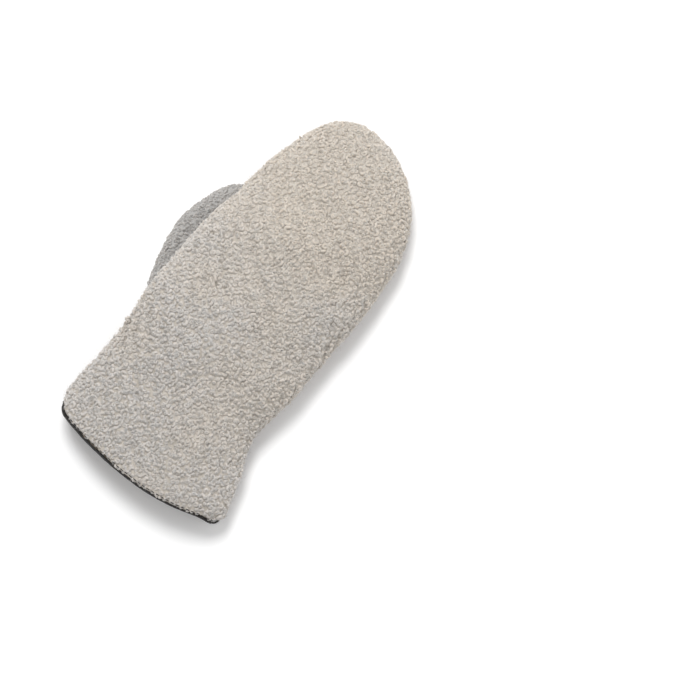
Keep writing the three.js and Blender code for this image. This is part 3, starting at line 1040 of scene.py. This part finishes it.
@dataclass
class Halo:
    """Single fibres that stand out of the curls and soften them."""

    hem: Hem
    lowest: float = 0.1 * MM
    scatter: float = 0.9 * MM
    stand: float = 0.7 * MM
    thickness: float = 0.085 * MM
    shortest: float = 1.2 * MM
    longest: float = 2.5 * MM
    spread: float = 1.0
    seed: int = 41

    def grow(self, name: str, places: np.ndarray, facing: np.ndarray, each: int,
             material: bpy.types.Material) -> bpy.types.Object:
        """Grows one joined piece of fibres, several round each curl.

        Args:
            name: the piece's name.
            places: where the curls stand.
            facing: the hide's unit normals there.
            each: fibres to a curl.
            material: their wool.

        Returns:
            The new object.
        """
        rng = np.random.default_rng(self.seed)
        roots = np.repeat(places, each, axis=0)
        out = np.repeat(facing, each, axis=0)
        count = len(roots)
        roots = roots + rng.normal(scale=self.scatter, size=(count, 3)) + out * self.stand
        ahead = out * 0.7 + rng.normal(scale=self.spread, size=(count, 3)) * 0.7
        ahead += out * np.maximum(0.15 - np.sum(ahead * out, axis=1), 0)[:, None]
        ahead /= np.linalg.norm(ahead, axis=1)[:, None]
        sideways = np.cross(ahead, rng.normal(size=(count, 3)))
        sideways /= np.linalg.norm(sideways, axis=1)[:, None]
        across = np.cross(ahead, sideways)
        length = rng.uniform(self.shortest, self.longest, size=count)[:, None]
        around = np.arange(3) * 2 * math.pi / 3
        rim = np.cos(around)[None, :, None] * sideways[:, None]
        rim = rim + np.sin(around)[None, :, None] * across[:, None]
        low = roots[:, None] + rim * self.thickness
        tip = roots + ahead * length
        rows = self.hem.trim(np.concatenate([low, tip[:, None]], axis=1).reshape(-1, 3))
        rows[:, 2] = np.maximum(rows[:, 2], self.lowest)
        start = np.arange(count)[:, None] * 4
        sides = np.concatenate([start + [k, (k + 1) % 3, 3] for k in range(3)] + [start + [2, 1, 0]])
        values = {"rise": np.full(len(rows), 1.0), "tone": np.full(len(rows), 0.7)}
        piece = mesh_piece(name, rows, [sides], values)
        piece.data.materials.append(material)
        return piece


@dataclass
class Hide:
    """A fleece-side skin made from a CAD wall: its outer side sunk under the wool, its inner side suede.

    The wool is fuller, or where that is below 0 drawn in, round one place along the thumb's side.
    """

    node: str
    name: str
    walls: tuple[str, ...]
    neighbours: tuple[str, ...] = ()
    voxel: float = 1.5 * MM
    softening: int = 5
    kept: float = 1.0
    sunk: float = 1.15 * MM
    reach: float = 90 * MM
    squeezed: float = 3 * MM
    dents: float = 0.0
    fuller: float = 0.0
    fuller_place: float = 0.0
    fuller_reach: float = 30 * MM
    lowest: float = 0.1 * MM
    cut_edge: float = 14 * MM
    clear_start: float = 2.5 * MM
    spine_height: float = 0.0
    spine_low: tuple[float, float] = (30 * MM, -50 * MM)
    spine_high: tuple[float, float] = (30 * MM, 55 * MM)
    hem: Hem | None = None

    def build(self) -> bpy.types.Object:
        """Remeshes the wall, softens it and sinks its outer side.

        Returns:
            The new object.
        """
        self.piece = copy_of_node(self.node, self.name)
        apply_modifier(self.piece, "REMESH", mode="VOXEL", voxel_size=self.voxel, use_smooth_shade=True)
        apply_modifier(self.piece, "SMOOTH", factor=0.5, iterations=self.softening)
        if self.kept < 1:
            apply_modifier(self.piece, "DECIMATE", ratio=self.kept)
        self.find_outer()
        self.sink()
        return self.piece

    def find_outer(self) -> None:
        """Marks the faces that look away from every wall and from the room's flat middle, its spine.

        Faces that are squeezed against a neighbour are left out.
        """
        low, high = (np.array(corner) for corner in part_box(self.node))
        low[:2] += self.spine_low
        high[:2] -= self.spine_high
        low[2] = high[2] = self.spine_height
        walls = tree_of(*(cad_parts[wall] for wall in self.walls))
        near = tree_of(*(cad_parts[other] for other in self.neighbours)) if self.neighbours else None
        faces = self.piece.data.polygons
        self.outer = np.zeros(len(faces), dtype=bool)
        for number, face in enumerate(faces):
            start = face.center + face.normal * self.clear_start
            out = walls.ray_cast(start, face.normal, self.reach)[0] is None
            if out and self.spine_height:
                spine = np.clip(face.center, low, high)
                out = (np.array(face.center) - spine) @ np.array(face.normal) > 0
            if out and near:
                out = near.ray_cast(face.center, face.normal, self.squeezed)[0] is None
            self.outer[number] = out

    def sink(self) -> None:
        """Draws the outer side in, so that the curls stand within the fleece's own depth."""
        points = points_of(self.piece)
        weight = np.zeros(len(points))
        for face, out in zip(self.piece.data.polygons, self.outer):
            if out:
                weight[list(face.vertices)] = 1
        facing = normals_of(self.piece)
        depth = self.sunk * weight * (1 + 0.3 * smooth_noise(points, 22 * MM, 5))
        depth += self.dents * weight * smooth_noise(points, 64 * MM, 19)
        depth = np.minimum(depth, self.thickness(points, facing) * 0.5)
        offset = np.clip(np.abs(points[:, 1] - self.fuller_place) / self.fuller_reach, 0, 1)
        bulge = self.fuller * weight * np.cos(offset * math.pi / 2) ** 2 * np.clip(-facing[:, 0] * 1.4, 0, 1)
        rows = points - facing * (depth - bulge)[:, None]
        rows[:, 2] = np.maximum(rows[:, 2], self.lowest)
        set_points(self.piece, self.hem.draw_back(rows) if self.hem else rows)

    def thickness(self, points: np.ndarray, facing: np.ndarray) -> np.ndarray:
        """Measures the wall under each of its points.

        Args:
            points: the wall's points.
            facing: the unit normals there.

        Returns:
            The wall's thickness at each point.
        """
        wall = tree_of(self.piece)
        found = [wall.ray_cast(Vector(point - out * (0.05 * MM)), Vector(-out))[3]
                 for point, out in zip(points, facing)]
        return np.array([self.reach if depth is None else depth for depth in found])

    def woolly(self) -> np.ndarray:
        """Finds where curls grow: on the outer side, short of the cuff's cut edge.

        Returns:
            For each face, whether curls grow there.
        """
        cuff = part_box("cuff_binding")[1][1]
        grows = self.outer.copy()
        if self.hem is None:
            return grows
        outward = self.hem.outward()
        for number, face in enumerate(self.piece.data.polygons):
            if grows[number] and face.center.y < cuff + self.cut_edge:
                near = np.abs(self.hem.ring[:, [0, 2]] - [face.center.x, face.center.z]).sum(axis=1).argmin()
                grows[number] = face.normal.y > -0.55 and outward[near] @ np.array(face.normal) > 0.2
        return grows

    def dress(self, roots: bpy.types.Material, suede: bpy.types.Material) -> None:
        """Gives the hide its materials.

        Args:
            roots: the ground under the curls, for the outer side.
            suede: the buffed flesh side, for the inner side.
        """
        self.piece.data.materials.append(roots)
        self.piece.data.materials.append(suede)
        self.piece.data.polygons.foreach_set("material_index", (~self.outer).astype(np.int32))
        self.piece.data.shade_smooth()


@dataclass
class ShearlingBack:
    """The back of the mitten: its hide, its curls in bands from the cuff to the fingertips, and its halo."""

    wool: bpy.types.Material
    roots: bpy.types.Material
    suede: bpy.types.Material
    hem: Hem
    bands: int = 4
    halo_fibres: int = 6

    def build(self) -> None:
        """Makes the hide and grows its curls, band by band."""
        hide = Hide("fur_back", "shearling_hide", ("fur_back", "leather_palm"), hem=self.hem,
                    dents=0.9 * MM, fuller=-2.0 * MM, fuller_place=-64 * MM, fuller_reach=48 * MM,
                    voxel=1.0 * MM, softening=3, kept=0.27, spine_height=12 * MM)
        piece = hide.build()
        hide.dress(self.roots, self.suede)
        hand_in(piece, "shearling", "fur_back")
        fleece = Fleece(self.hem)
        places, facing = fleece.scatter(piece, hide.woolly())
        order = np.argsort(places[:, 1], kind="stable")
        for number, band in enumerate(np.array_split(order, self.bands)):
            curls = fleece.grow(f"back_curls_{number + 1}", places[band], facing[band], self.wool)
            hand_in(curls, "shearling")
        halo = Halo(self.hem).grow("back_halo", places, facing, self.halo_fibres, self.wool)
        hand_in(halo, "shearling")


@dataclass
class Thumb:
    """The thumb folded under the palm: fleece towards the outside, nappa towards the palm."""

    wool: bpy.types.Material
    roots: bpy.types.Material
    suede: bpy.types.Material
    nappa: bpy.types.Material
    hem: Hem

    def build(self) -> None:
        """Makes the thumb's hide, curls and leather."""
        low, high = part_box("thumb_fur")
        hide = Hide("thumb_fur", "thumb_hide", ("thumb_fur", "thumb_gusset"), ("leather_palm", "fur_back"),
                    sunk=0.6 * MM, fuller=6.5 * MM, fuller_place=low[1] * 0.49 + high[1] * 0.51,
                    fuller_reach=(high[1] - low[1]) * 0.58)
        piece = hide.build()
        hide.dress(self.roots, self.suede)
        hand_in(piece, "shearling", "thumb_fur")
        fleece = Fleece(self.hem, seed=23, spacing=2.0 * MM, size_range=(0.58, 0.76))
        places, facing = fleece.scatter(piece, hide.woolly())
        curls = fleece.grow("thumb_curls", places, facing, self.wool)
        hand_in(curls, "shearling")
        self.add_gusset()

    def add_gusset(self) -> None:
        """Makes the thumb's leather side."""
        gusset = copy_of_node("thumb_gusset", "gusset_leather")
        apply_modifier(gusset, "REMESH", mode="VOXEL", voxel_size=0.9 * MM, use_smooth_shade=True)
        apply_modifier(gusset, "SMOOTH", factor=0.5, iterations=3)
        keep_value(gusset, "lift", np.full(len(gusset.data.vertices), 0.5))
        gusset.data.materials.append(self.nappa)
        hand_in(gusset, "palm_leather", "thumb_gusset")


@dataclass
class Seam:
    """A row of hand stitches along a line, each a short tapered length of thread."""

    points: int = 5
    sides: int = 6
    pitch: float = 3.6 * MM
    length: float = 2.5 * MM
    thickness: float = 0.34 * MM
    lowest: float = 0.1 * MM

    def stitch_lines(self, line: np.ndarray) -> list[np.ndarray]:
        """Cuts a line into evenly spaced stitches.

        Args:
            line: its points in rows.

        Returns:
            For each stitch, its points in rows.
        """
        steps = np.linalg.norm(np.diff(line, axis=0), axis=1)
        travel = np.concatenate([[0], np.cumsum(steps)])
        count = max(int(travel[-1] / self.pitch), 1)
        middles = (np.arange(count) + 0.5) * travel[-1] / count
        lean = np.linspace(-0.5, 0.5, self.points) * self.length
        return [np.stack([np.interp(middle + lean, travel, line[:, axis]) for axis in range(3)], axis=1)
                for middle in middles]

    def build(self, name: str, paths: list[np.ndarray], thread: bpy.types.Material) -> bpy.types.Object:
        """Makes one joined piece of stitches.

        Args:
            name: the piece's name.
            paths: for each stitch, its seated points in rows.
            thread: the thread's material.

        Returns:
            The new object.
        """
        swell = self.thickness * np.array([0.5, 0.9, 1.0, 0.9, 0.5])
        corners = np.arange(self.sides)
        around = corners * math.pi / 3
        first = np.arange(self.points - 1)[:, None] * self.sides
        here, after = first + corners, first + (corners + 1) % self.sides
        quads = np.stack([here, after, after + self.sides, here + self.sides], axis=-1).reshape(-1, 4)
        ends = np.array([corners[::-1], (self.points - 1) * self.sides + corners])
        points: list[np.ndarray] = []
        for path in paths:
            ahead = np.gradient(path, axis=0)
            ahead /= np.linalg.norm(ahead, axis=1)[:, None] + 1e-12
            side = np.cross([0, 0, 1], ahead)
            side /= np.linalg.norm(side, axis=1)[:, None] + 1e-12
            up = np.cross(ahead, side)
            rim = np.cos(around)[None, :, None] * side[:, None]
            rim = rim + np.sin(around)[None, :, None] * up[:, None]
            points.append((path[:, None] + rim * swell[:, None, None]).reshape(-1, 3))
        rows = np.concatenate(points)
        rows[:, 2] = np.maximum(rows[:, 2], self.lowest)
        shift = np.arange(len(paths))[:, None, None] * self.points * self.sides
        faces = [(quads[None] + shift).reshape(-1, 4), (ends[None] + shift).reshape(-1, self.sides)]
        piece = mesh_piece(name, rows, faces, {})
        piece.data.materials.append(thread)
        return piece


@dataclass
class Palm:
    """The soft leather palm, gathered by an elastic at the wrist."""

    nappa: bpy.types.Material
    thread: bpy.types.Material
    hem: Hem
    voxel: float = 1.15 * MM
    elastic_place: float = -79.5 * MM
    elastic_rows: tuple[float, ...] = (-4.5 * MM, 0.0, 4.5 * MM)
    groove_width: float = 1.1 * MM
    groove_depth: float = 0.7 * MM
    gather_pitch: float = 4.6 * MM
    gather_height: float = 1.5 * MM
    gather_reach: float = 17 * MM
    fold_height: float = 1.8 * MM
    crease_height: float = 0.7 * MM
    shaded_depth: float = 3.2 * MM
    allowance: float = 3.2 * MM
    allowance_depth: float = 1.9 * MM
    joined: float = 0.6 * MM
    free_from: float = 5 * MM
    hem_reach: float = 7 * MM
    hem_fade: float = 2 * MM
    hem_lift: float = 0.8 * MM
    thumb_seam: float = 6 * MM
    underside: float = 22 * MM
    below: float = -10 * MM
    half_width: float = 62 * MM
    lowest: float = 0.05 * MM
    stitch_depth: float = 0.1 * MM

    def relief(self, points: np.ndarray) -> np.ndarray:
        """Works out the relief: gathers at the elastic, long folds and finer creases.

        Args:
            points: the leather's points.

        Returns:
            How far each is drawn in.
        """
        offset = points[:, 1] - self.elastic_place
        near = np.exp(-(offset / self.gather_reach) ** 2)
        sway = smooth_noise(points * [1, 0.35, 0], 16 * MM, 3) * 1.6
        phase = points[:, 0] * 2 * math.pi / self.gather_pitch + sway
        gathers = self.gather_height * near * (0.5 + 0.5 * np.cos(phase))
        rows = sum(np.exp(-((offset - row) / self.groove_width) ** 2) for row in self.elastic_rows)
        long_fold = 1 - np.abs(smooth_noise(points * [1, 0.22, 0], 46 * MM, 8))
        cross_fold = 1 - np.abs(smooth_noise(points * [0.45, 1, 0], 60 * MM, 12))
        folds = self.fold_height * (np.clip(long_fold, 0, 1) ** 7 + 0.6 * np.clip(cross_fold, 0, 1) ** 9)
        fine = 1 - np.abs(smooth_noise(points * [1, 0.6, 0], 13 * MM, 9))
        creases = self.crease_height * np.clip(fine, 0, 1) ** 10
        return gathers + self.groove_depth * rows + folds * (1 - 0.7 * near) + creases

    def build(self) -> None:
        """Makes the palm's leather with its gathers and creases."""
        palm = copy_of_node("leather_palm", "palm_leather")
        apply_modifier(palm, "REMESH", mode="VOXEL", voxel_size=self.voxel, use_smooth_shade=True)
        apply_modifier(palm, "SMOOTH", factor=0.5, iterations=2)
        points = points_of(palm)
        others = tree_of(*(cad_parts[node] for node in ("thumb_fur", "thumb_gusset", "fur_back")))
        clear = np.array([others.find_nearest(Vector(point))[3] for point in points])
        free = np.clip((clear - self.joined) / self.free_from, 0, 1)
        drawn_in = self.relief(points) * free
        seam = np.clip(1 - clear / self.allowance, 0, 1)
        lifted = points + normals_of(palm) * (self.allowance_depth * seam)[:, None]
        bound = self.hem.line(points[:, 0]) + self.hem_reach - points[:, 1]
        bound = np.clip(bound / self.hem_fade, 0, 1)
        lifted[:, 2] = np.maximum(lifted[:, 2] + drawn_in, self.lowest) + self.hem_lift * bound
        set_points(palm, self.hem.draw_back(lifted))
        # The lift that the leather's colour follows: low in the gathers, folds and creases, which the nappa
        # darkens as painted shade.
        keep_value(palm, "lift", np.clip(1 - drawn_in / self.shaded_depth, 0, 1))
        palm.data.shade_smooth()
        palm.data.materials.append(self.nappa)
        hand_in(palm, "palm_leather", "leather_palm")
        self.sew(palm)

    def sew(self, palm: bpy.types.Object) -> None:
        """Sews the elastic's rows and the seam beside the thumb.

        Args:
            palm: the leather, whose underside the stitches lie on.
        """
        leather = tree_of(palm)
        thumb = tree_of(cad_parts["thumb_fur"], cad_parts["thumb_gusset"])
        across = np.linspace(-self.half_width, self.half_width, 80)
        lines = [np.stack([across, np.full(80, self.elastic_place + row), np.full(80, self.below)], axis=1)
                 for row in self.elastic_rows]
        low, high = (np.array(corner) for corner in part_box("thumb_fur"))
        turn = np.linspace(-0.75 * math.pi, 0.62 * math.pi, 120)
        middle = (low + high) / 2
        reach = (high - low) / 2 + self.thumb_seam
        curve = np.stack([middle[0] + np.cos(turn) * reach[0], middle[1] + np.sin(turn) * reach[1],
                          np.full(120, self.below)], axis=1)
        seam = Seam(pitch=3.2 * MM, length=2.2 * MM, thickness=0.3 * MM)
        paths: list[np.ndarray] = []
        for stitch in [stitch for line in (*lines, curve) for stitch in seam.stitch_lines(line)]:
            seated = []
            for row in stitch:
                start, up = Vector(row), Vector((0, 0, 1))
                spot = leather.ray_cast(start, up)[0]
                if spot is not None and thumb.ray_cast(start, up)[0] is None and spot.z < self.underside:
                    seated.append(np.array(spot) - [0, 0, self.stitch_depth])
            if len(seated) == len(stitch):
                paths.append(np.array(seated))
        hand_in(seam.build("palm_stitches", paths, self.thread), "palm_leather")


@dataclass
class Cuff:
    """The strip that binds the cuff, with the stitches that hold it to the fleece."""

    leather: bpy.types.Material
    thread: bpy.types.Material
    hem: Hem
    stitch_inset: float = 3.9 * MM
    stitch_lift: float = 0.45 * MM
    tuck: float = 1.75 * MM
    narrowing: float = 0.64
    depth: float = 5 * MM
    reach: float = 2.6 * MM
    side_reach: float = 2.2 * MM
    seat: float = 8 * MM
    voxel: float = 0.7 * MM
    ripple: float = 0.12 * MM
    lowest: float = 0.05 * MM

    def shape_strip(self, rows: np.ndarray) -> np.ndarray:
        """Folds the strip closer round the cut edge and out to the wool's surface.

        Args:
            rows: the strip's points.

        Returns:
            The moved points.
        """
        apart = np.linalg.norm((rows[:, None] - self.hem.ring[None])[:, :, [0, 2]], axis=2)
        near = apart.argmin(axis=1)
        share = np.clip(1 - apart.min(axis=1) / self.depth, 0, 1)
        middle = self.hem.ring[near, 1]
        out = self.hem.outward()[near]
        push = self.reach * np.clip(0.6 + out[:, 2], 0, 1) + self.side_reach * np.abs(out[:, 0])
        shaped = rows + out * (share * push)[:, None]
        shaped[:, 1] = middle + (rows[:, 1] - middle) * self.narrowing + self.tuck
        shaped[:, 2] = np.maximum(shaped[:, 2], self.lowest)
        return self.hem.draw_back(shaped)

    def build(self) -> None:
        """Makes the strip and its stitches."""
        strip = copy_of_node("cuff_binding", "cuff_binding_strip")
        apply_modifier(strip, "REMESH", mode="VOXEL", voxel_size=self.voxel, use_smooth_shade=True)
        apply_modifier(strip, "SMOOTH", factor=0.5, iterations=3)
        points = points_of(strip)
        ripple = smooth_noise(points, 6 * MM, 17) * self.ripple
        set_points(strip, self.shape_strip(points + normals_of(strip) * ripple[:, None]))
        strip.data.shade_smooth()
        strip.data.materials.append(self.leather)
        hand_in(strip, "binding", "cuff_binding")
        self.add_stitches()

    def add_stitches(self) -> None:
        """Sews the strip on through the fleece, a little in from the hem."""
        skin = tree_of(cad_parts["fur_back"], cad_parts["leather_palm"])
        inside = self.hem.ring + self.hem.outward() * self.depth + np.array([0, self.stitch_inset, 0])
        seam = Seam()
        paths: list[np.ndarray] = []
        for stitch in seam.stitch_lines(np.vstack([inside, inside[:1]])):
            seated = []
            for row in stitch:
                spot, normal, _, gap = skin.find_nearest(Vector(row))
                if gap < self.seat and normal.y > -0.6:
                    seated.append(np.array(spot + normal * self.stitch_lift))
            if len(seated) == len(stitch):
                paths.append(self.hem.draw_back(np.array(seated)))
        hand_in(seam.build("hem_stitches", paths, self.thread), "binding")


@dataclass
class HangingLoop:
    """The thin cord sewn into the little-finger seam, lying on the surface under the cuff's corner."""

    cord: bpy.types.Material
    diameter: float = 1.2 * MM
    length: float = 33.4 * MM
    route: list[tuple[float, float, float]] = field(default_factory=lambda: [
        (55.6, 9.0, 4.2),
        (55.9, 9.0, 2.6),
        (56.9, 9.0, 1.3),
        (58.5, 9.1, 0.8),
        (60.3, 9.9, 0.7),
        (61.5, 11.7, 0.7),
        (62.0, 14.2, 0.7),
        (62.0, 17.0, 0.7),
        (61.5, 19.6, 0.7),
        (60.2, 21.4, 0.7),
        (58.4, 21.6, 0.7),
        (57.0, 20.2, 0.7),
        (56.6, 17.9, 0.7),
        (56.5, 15.4, 0.8),
        (56.2, 13.5, 1.4),
        (55.8, 12.6, 2.7),
        (55.6, 12.5, 4.2),
    ])

    def build(self) -> None:
        """Lays the cord along its route, which is counted from the hem's middle."""
        rows = np.array(self.route) * MM
        low, high = (np.array(corner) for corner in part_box("hang_loop"))
        shift = (low + high) / 2 - (rows.min(axis=0) + rows.max(axis=0)) / 2
        shift[2] = 0
        data = bpy.data.curves.new("hanging_loop", "CURVE")
        data.dimensions = "3D"
        data.bevel_depth = self.diameter / 2
        data.bevel_resolution = 3
        data.resolution_u = 6
        data.use_fill_caps = True
        spline = data.splines.new("BEZIER")
        spline.bezier_points.add(len(rows) - 1)
        for point, row in zip(spline.bezier_points, rows + shift):
            point.co = row
            point.handle_left_type = "AUTO"
            point.handle_right_type = "AUTO"
        loop = bpy.data.objects.new("hanging_loop", data)
        bpy.context.scene.collection.objects.link(loop)
        loop.data.materials.append(self.cord)
        hand_in(loop, "loop_cord", "hang_loop")


def main() -> None:
    """Builds the mitten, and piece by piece."""
    logging.basicConfig(level=logging.INFO, format="%(message)s")
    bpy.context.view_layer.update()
    Studio().build()
    HangingLoop(WaxedThread("waxed_loop_cord", "262423", 0.6 * MM).material()).build()
    wool = CurledWool().material()
    # The thumb's wool is darker and greyer than the back's, most of all high up its side next to the body:
    # painted shade where it lies under the body's edge.
    shaded_thumb_wool = CurledWool("c6bfb7", "a4a19e", "a19d98", axis="Z", reach=(4 * MM, 10 * MM),
                             warming=(0.4, -0.4), name="shade_painted_thumb_wool").material()
    roots = WoolRoots().material()
    # The thumb's roots are darker and greyer than the back's: painted shade.
    shaded_thumb_roots = WoolRoots("b0aeac", "9f9d9b", name="shade_painted_thumb_roots").material()
    suede = Suede().material()
    nappa = Nappa().material()
    hem = Hem(ring_of("cuff_binding"))
    ShearlingBack(wool, roots, suede, hem).build()
    Thumb(shaded_thumb_wool, shaded_thumb_roots, suede, nappa, hem).build()
    thread = WaxedThread().material()
    Palm(nappa, thread, hem).build()
    Cuff(EdgeLeather().material(), thread, hem).build()


if __name__ == "__main__":
    main()
